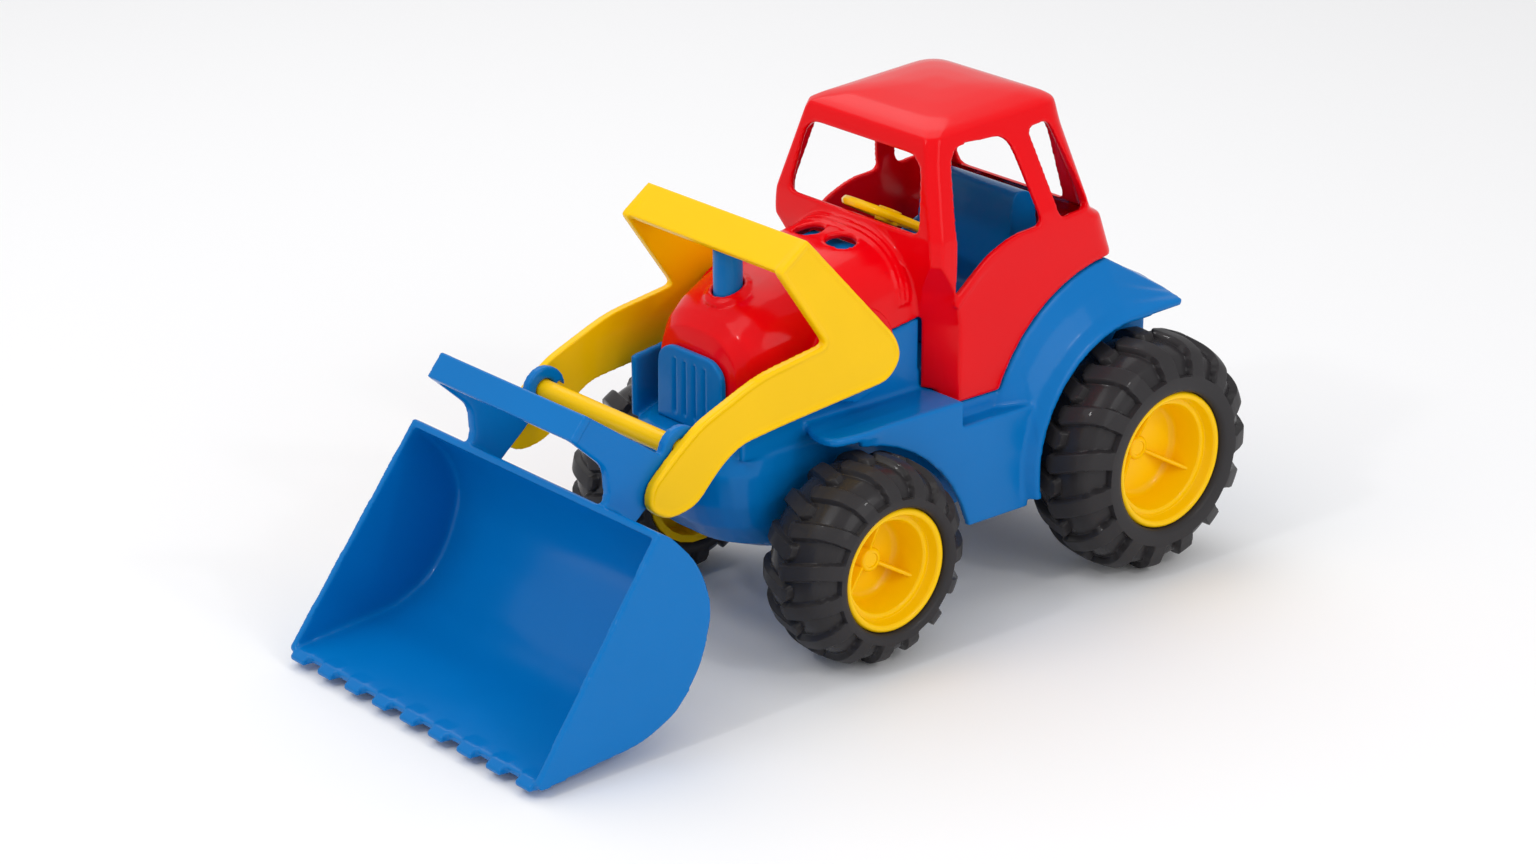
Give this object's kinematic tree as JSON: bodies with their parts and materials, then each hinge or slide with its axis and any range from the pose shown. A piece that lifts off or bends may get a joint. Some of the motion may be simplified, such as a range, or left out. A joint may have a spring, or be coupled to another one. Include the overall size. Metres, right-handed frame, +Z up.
{
  "type": "toy front-loader tractor",
  "caption": "Toy front-loader tractor with a tilting bucket on lifting arms, an open cab with seat and steering wheel, and chunky tyres on plastic rims.",
  "frame": {"origin": "on the ground under the middle of the outer box", "axes": "+Z up, -Y is the way the tractor faces, +X is its left side"},
  "size_m": [0.168, 0.378, 0.2043],
  "materials": {
    "red_plastic": "glossy injection-moulded plastic",
    "blue_plastic": "glossy injection-moulded plastic",
    "yellow_plastic": "glossy injection-moulded plastic",
    "tyre_rubber": "semi-matt moulded rubber with glossy tread valleys",
    "axle_steel": "plain drawn steel",
    "screw_steel": "zinc-plated steel"
  },
  "bodies": {
    "body": {"chassis": "blue_plastic", "rear_chassis": "blue_plastic", "left_mudguard": "blue_plastic", "right_mudguard": "blue_plastic", "cab_and_hood": "red_plastic", "engine_block": "blue_plastic", "grille": "blue_plastic", "exhaust_pipe": "blue_plastic", "seat": "blue_plastic", "steering_column": "blue_plastic", "hood_screw_left": "screw_steel", "hood_screw_right": "screw_steel", "cab_screw_left": "screw_steel", "cab_screw_right": "screw_steel"},
    "loader": {"loader_frame": "yellow_plastic"},
    "bucket": {"bucket": "blue_plastic"},
    "steering": {"steering_wheel": "yellow_plastic"},
    "front_wheels": {"front_axle": "axle_steel", "front_left_tyre": "tyre_rubber", "front_left_outer_rim": "yellow_plastic", "front_left_inner_rim": "yellow_plastic", "front_right_tyre": "tyre_rubber", "front_right_outer_rim": "yellow_plastic", "front_right_inner_rim": "yellow_plastic"},
    "rear_wheels": {"rear_axle": "axle_steel", "rear_left_tyre": "tyre_rubber", "rear_left_outer_rim": "yellow_plastic", "rear_left_inner_rim": "yellow_plastic", "rear_right_tyre": "tyre_rubber", "rear_right_outer_rim": "yellow_plastic", "rear_right_inner_rim": "yellow_plastic"}
  },
  "joints": [
    {"name": "loader_lift", "type": "hinge", "parent": "body", "child": "loader", "pos_m": [0, 0.00372, 0.117], "axis": [-1, 0, 0], "range_deg": [0, 55]},
    {"name": "bucket_tilt", "type": "hinge", "parent": "loader", "child": "bucket", "pos_m": [0, -0.08828, 0.102], "axis": [-1, 0, 0], "range_deg": [-30, 50]},
    {"name": "front_axle_spin", "type": "hinge", "parent": "body", "child": "front_wheels", "pos_m": [0, -0.01078, 0.04229], "axis": [1, 0, 0], "continuous": true},
    {"name": "rear_axle_spin", "type": "hinge", "parent": "body", "child": "rear_wheels", "pos_m": [0, 0.13832, 0.05065], "axis": [1, 0, 0], "continuous": true},
    {"name": "steering_spin", "type": "hinge", "parent": "body", "child": "steering", "pos_m": [0, 0.05522, 0.1532], "axis": [0, 0.4695, 0.8829], "continuous": true}
  ]
}
